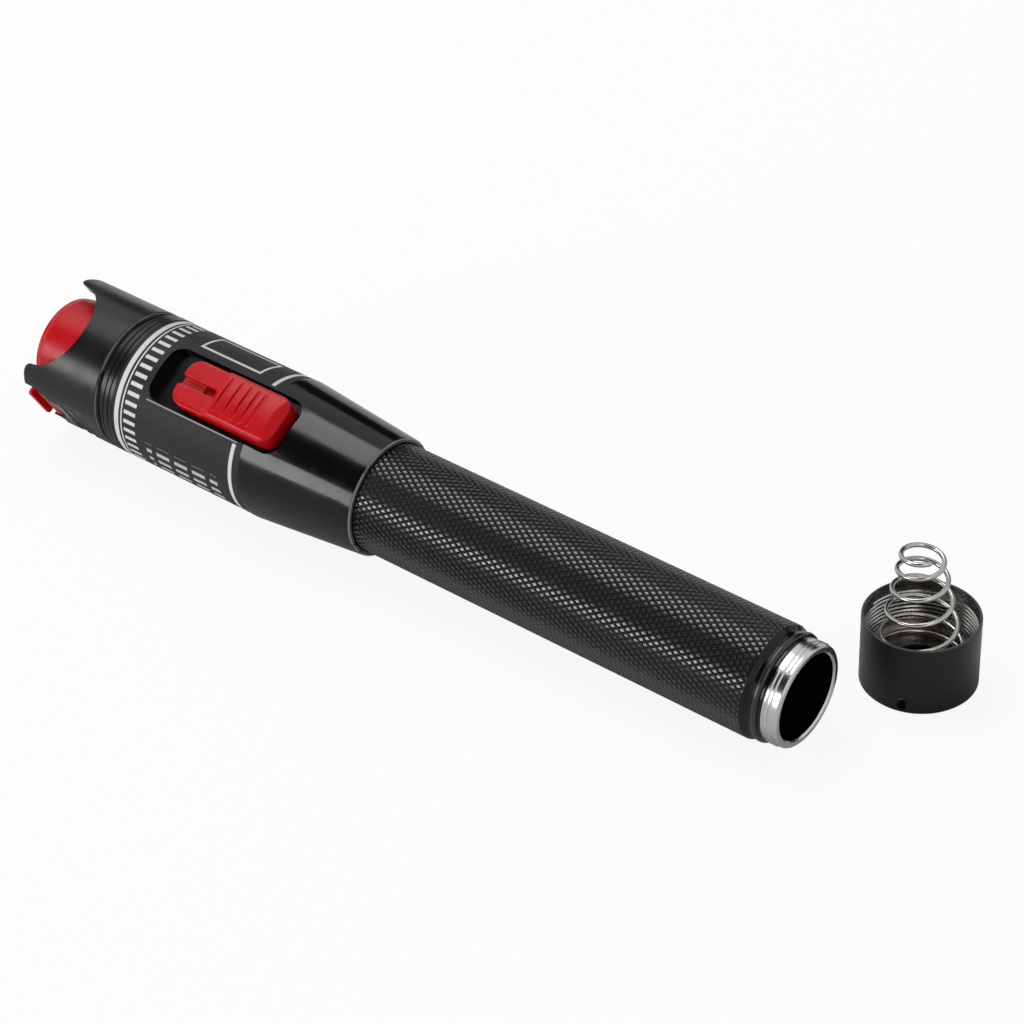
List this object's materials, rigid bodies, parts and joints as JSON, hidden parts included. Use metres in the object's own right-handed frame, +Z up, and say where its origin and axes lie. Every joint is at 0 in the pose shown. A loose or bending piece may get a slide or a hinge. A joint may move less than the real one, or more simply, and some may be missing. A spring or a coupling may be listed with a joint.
{
  "type": "visual fault locator",
  "caption": "Pen-type red laser tester for optical fibre, with flip dust lid, slide switch and a tail cap taken off beside it.",
  "frame": {"origin": "on the surface that it lies on, under the middle of the box round the pen and its cap", "axes": "+X from the mouth to the tail, along the pen as seen from above; +Z up; the cap stands on the +Y side"},
  "size_m": [0.1776, 0.0482, 0.0276],
  "materials": {
    "black_anodised": "hard black anodised, turned; the tube knurled, thread and bore of the cap left bare",
    "black_gloss": "glossy black anodised",
    "label_film": "printed charcoal film, satin",
    "red_plastic": "moulded red, satin",
    "nickel": "nickel plated",
    "spring_steel": "bright drawn wire",
    "zirconia": "polished",
    "brass": "turned",
    "lens_glass": "clear",
    "black_rubber": "oiled",
    "black_plastic": "moulded",
    "switch_metal": "plain",
    "board_green": "solder resist"
  },
  "bodies": {
    "pen": {"head_shell": "black_anodised", "hinge_pin": "spring_steel", "port_body": "nickel", "port_nut": "nickel", "ceramic_sleeve": "zirconia", "laser_barrel": "brass", "lens": "lens_glass", "lens_ring": "brass", "laser_diode": "brass", "body_shell": "black_gloss", "label_wrap": "label_film", "module_carrier": "black_plastic", "circuit_board": "board_green", "board_screws": "spring_steel", "switch_block": "switch_metal", "driver_chip": "black_plastic", "capacitors": "switch_metal", "contact_insulator": "black_plastic", "front_contact": "brass", "ground_ring": "brass", "battery_tube": "black_anodised", "tail_o_ring": "black_rubber", "tail_cap": "black_anodised", "cap_contact": "nickel", "tail_spring": "spring_steel"},
    "slider": {"switch_slider": "red_plastic", "switch_lever": "black_plastic"},
    "lid": {"dust_lid": "red_plastic", "lid_seal": "black_rubber"}
  },
  "joints": [
    {"name": "switch_slide", "type": "slide", "parent": "pen", "child": "slider", "axis": [-0.9996, 0, 0.0293], "range_m": [0, 0.0045]},
    {"name": "lid_hinge", "type": "hinge", "parent": "pen", "child": "lid", "pos_m": [-0.08502, -0.02003, 0.00897], "axis": [0.0249, -0.5225, 0.8523], "range_deg": [0, 100]}
  ]
}
